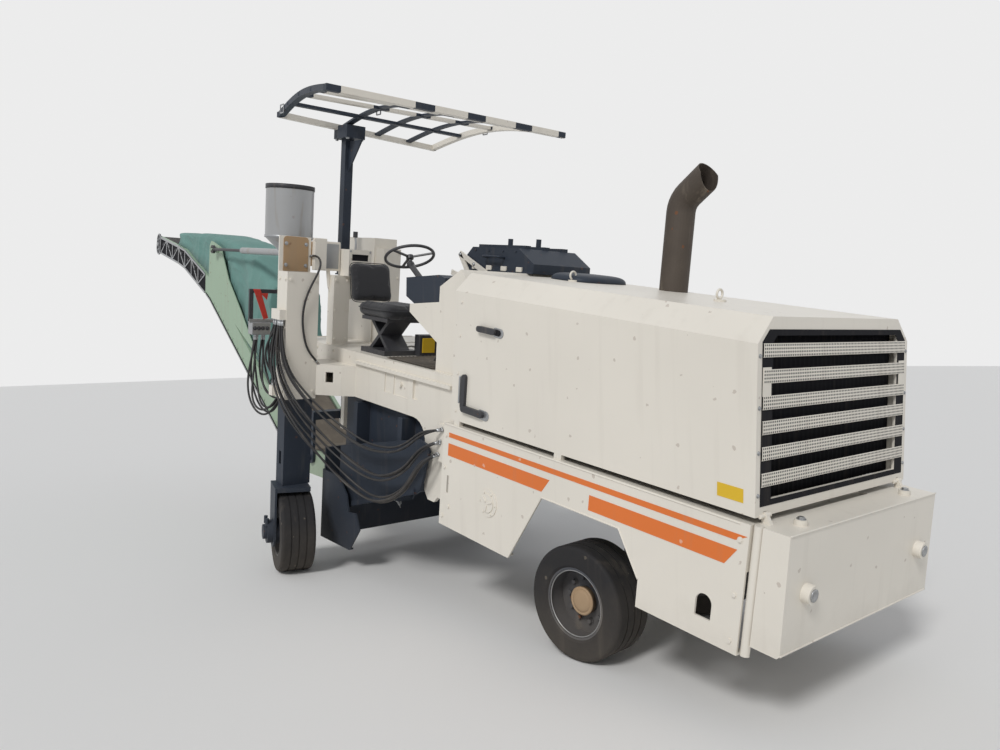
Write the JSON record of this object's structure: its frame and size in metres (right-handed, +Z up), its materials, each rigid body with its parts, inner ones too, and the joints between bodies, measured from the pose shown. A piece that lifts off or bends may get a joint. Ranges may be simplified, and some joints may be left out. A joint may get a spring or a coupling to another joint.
{
  "type": "cold planer milling machine",
  "caption": "Wheeled cold planer: milling drum between lifting rear legs and a steered front axle, tilting engine hood, driver seat under an open frame, and a rear loading conveyor.",
  "frame": {"origin": "middle of the footprint, on the ground under the wheels", "axes": "+X towards the counterweight, against the conveyor; +Y to the driver's left; +Z up"},
  "size_m": [10.4183, 2.5928, 3.873],
  "materials": {
    "cream_paint": "semi-gloss",
    "slate_paint": "satin",
    "green_paint": "satin",
    "tan_paint": "satin",
    "bare_steel": "worn",
    "cast_iron": "painted",
    "aluminium_core": "matt",
    "tyre": "matt",
    "black_rubber": "matt",
    "black_plastic": "matt",
    "seat_cover": "matt",
    "cover_fabric": "matt"
  },
  "bodies": {
    "chassis": {"main_frame": "cream_paint", "skirt_right": "cream_paint", "skirt_left": "cream_paint", "counterweight": "cream_paint", "front_axle": "slate_paint", "engine": "cast_iron", "radiator": "aluminium_core", "platform": "cream_paint", "cowl": "cream_paint", "hydraulic_box": "slate_paint", "console": "slate_paint", "rear_cabinet": "cream_paint", "seat_stand": "slate_paint", "seat": "seat_cover", "steering_column": "black_plastic", "canopy_mast": "slate_paint", "canopy_frame": "cream_paint", "round_tank": "bare_steel", "column_right": "cream_paint", "column_left": "cream_paint", "arm_right": "cream_paint", "arm_left": "cream_paint", "drum_housing": "slate_paint", "rear_mast": "cream_paint", "hose_high": "black_rubber", "hose_middle": "black_rubber", "hose_low": "black_rubber", "hose_drop": "black_rubber"},
    "hood": {"hood": "cream_paint", "grille": "bare_steel", "exhaust": "bare_steel"},
    "steering_wheel": {"steering_wheel": "black_plastic"},
    "knuckle_right": {"knuckle_right": "slate_paint"},
    "knuckle_left": {"knuckle_left": "slate_paint"},
    "wheel_front_right": {"rim_front_right": "tan_paint", "tyre_front_right": "tyre"},
    "wheel_front_left": {"rim_front_left": "tan_paint", "tyre_front_left": "tyre"},
    "leg_right": {"leg_right": "slate_paint"},
    "leg_left": {"leg_left": "slate_paint"},
    "fork_right": {"fork_right": "slate_paint"},
    "fork_left": {"fork_left": "slate_paint"},
    "wheel_rear_right": {"rim_rear_right": "tan_paint", "tyre_rear_right": "tyre"},
    "wheel_rear_left": {"rim_rear_left": "tan_paint", "tyre_rear_left": "tyre"},
    "drum": {"drum": "slate_paint", "picks_right": "bare_steel", "picks_left": "bare_steel"},
    "side_plate_right": {"side_plate_right": "slate_paint"},
    "side_plate_left": {"side_plate_left": "slate_paint"},
    "scraper": {"scraper": "slate_paint"},
    "yoke": {"conveyor_yoke": "slate_paint"},
    "boom": {"boom": "green_paint", "belt": "black_rubber", "belt_cover": "cover_fabric"},
    "head_pulley": {"head_pulley": "bare_steel"},
    "tail_pulley": {"tail_pulley": "bare_steel"},
    "stay_tube": {"stay_tube": "slate_paint"},
    "stay_rod": {"stay_rod": "bare_steel"}
  },
  "joints": [
    {"name": "hood_hinge", "type": "hinge", "parent": "chassis", "child": "hood", "pos_m": [5.02235, 0.01553, 1.00611], "axis": [0, 1, 0], "range_deg": [0, 45]},
    {"name": "steering_wheel_turn", "type": "hinge", "parent": "chassis", "child": "steering_wheel", "pos_m": [1.64263, -0.31447, 2.48568], "axis": [-0.3165, 0.0985, 0.9435], "range_deg": [-540, 540]},
    {"name": "front_steer_right", "type": "hinge", "parent": "chassis", "child": "knuckle_right", "pos_m": [3.80726, -0.37447, 0.33273], "axis": [0.1374, 0, 0.9905], "range_deg": [-28, 20]},
    {"name": "front_wheel_right_spin", "type": "hinge", "parent": "knuckle_right", "child": "wheel_front_right", "pos_m": [3.81935, -0.54904, 0.33105], "axis": [-0.0691, 0.9976, 0.0096], "continuous": true},
    {"name": "leg_right_lift", "type": "slide", "parent": "chassis", "child": "leg_right", "axis": [0.1374, 0, 0.9905], "range_m": [0, 0.45]},
    {"name": "rear_steer_right", "type": "hinge", "parent": "leg_right", "child": "fork_right", "pos_m": [0.88526, -1.03447, 0.73819], "axis": [0.1374, 0, 0.9905], "range_deg": [-3, 33]},
    {"name": "rear_wheel_right_spin", "type": "hinge", "parent": "fork_right", "child": "wheel_rear_right", "pos_m": [0.88765, -1.05, 0.33375], "axis": [0.2564, 0.9659, -0.0356], "continuous": true},
    {"name": "side_plate_right_lift", "type": "slide", "parent": "chassis", "child": "side_plate_right", "axis": [0.1374, 0, 0.9905], "range_m": [0, 0.25]},
    {"name": "front_steer_left", "type": "hinge", "parent": "chassis", "child": "knuckle_left", "pos_m": [3.80726, 0.40553, 0.33273], "axis": [0.1374, 0, 0.9905], "range_deg": [-28, 20]},
    {"name": "front_wheel_left_spin", "type": "hinge", "parent": "knuckle_left", "child": "wheel_front_left", "pos_m": [3.79517, 0.5801, 0.33441], "axis": [-0.0691, 0.9976, 0.0096], "continuous": true},
    {"name": "leg_left_lift", "type": "slide", "parent": "chassis", "child": "leg_left", "axis": [0.1374, 0, 0.9905], "range_m": [0, 0.45]},
    {"name": "rear_steer_left", "type": "hinge", "parent": "leg_left", "child": "fork_left", "pos_m": [0.88526, 1.06553, 0.73819], "axis": [0.1374, 0, 0.9905], "range_deg": [-3, 33]},
    {"name": "rear_wheel_left_spin", "type": "hinge", "parent": "fork_left", "child": "wheel_rear_left", "pos_m": [0.88765, 1.05, 0.33375], "axis": [0.2564, 0.9659, -0.0356], "continuous": true},
    {"name": "side_plate_left_lift", "type": "slide", "parent": "chassis", "child": "side_plate_left", "axis": [0.1374, 0, 0.9905], "range_m": [0, 0.25]},
    {"name": "drum_spin", "type": "hinge", "parent": "chassis", "child": "drum", "pos_m": [1.56757, 0.01553, 0.92619], "axis": [0, 1, 0], "continuous": true},
    {"name": "scraper_lift", "type": "slide", "parent": "chassis", "child": "scraper", "axis": [0.1374, 0, 0.9905], "range_m": [0, 0.25]},
    {"name": "conveyor_slew", "type": "hinge", "parent": "chassis", "child": "yoke", "pos_m": [-0.17459, 0.01553, 0.88526], "axis": [0.1374, 0, 0.9905], "range_deg": [-25, 25]},
    {"name": "conveyor_lift", "type": "hinge", "parent": "yoke", "child": "boom", "pos_m": [-0.19108, 0.01553, 0.76639], "axis": [0, 1, 0], "range_deg": [-6, 6]},
    {"name": "head_pulley_spin", "type": "hinge", "parent": "boom", "child": "head_pulley", "pos_m": [-5.09793, 0.01553, 3.45634], "axis": [0, 1, 0], "continuous": true},
    {"name": "tail_pulley_spin", "type": "hinge", "parent": "boom", "child": "tail_pulley", "pos_m": [0.52209, 0.01553, 0.66743], "axis": [0, 1, 0], "continuous": true},
    {"name": "stay_pivot", "type": "hinge", "parent": "yoke", "child": "stay_tube", "pos_m": [-0.02652, 0.01553, 2.75263], "axis": [0, 1, 0], "range_deg": [-6.43, 6.43]},
    {"name": "stay_rod_slide", "type": "slide", "parent": "stay_tube", "child": "stay_rod", "axis": [-0.9915, 0, 0.13], "range_m": [-0.211, 0.211]}
  ],
  "couplings": [
    {"joint": "stay_pivot", "follows": "conveyor_lift", "ratio": 1.0391},
    {"joint": "stay_rod_slide", "follows": "conveyor_lift", "m_per_rad": -1.9867}
  ]
}
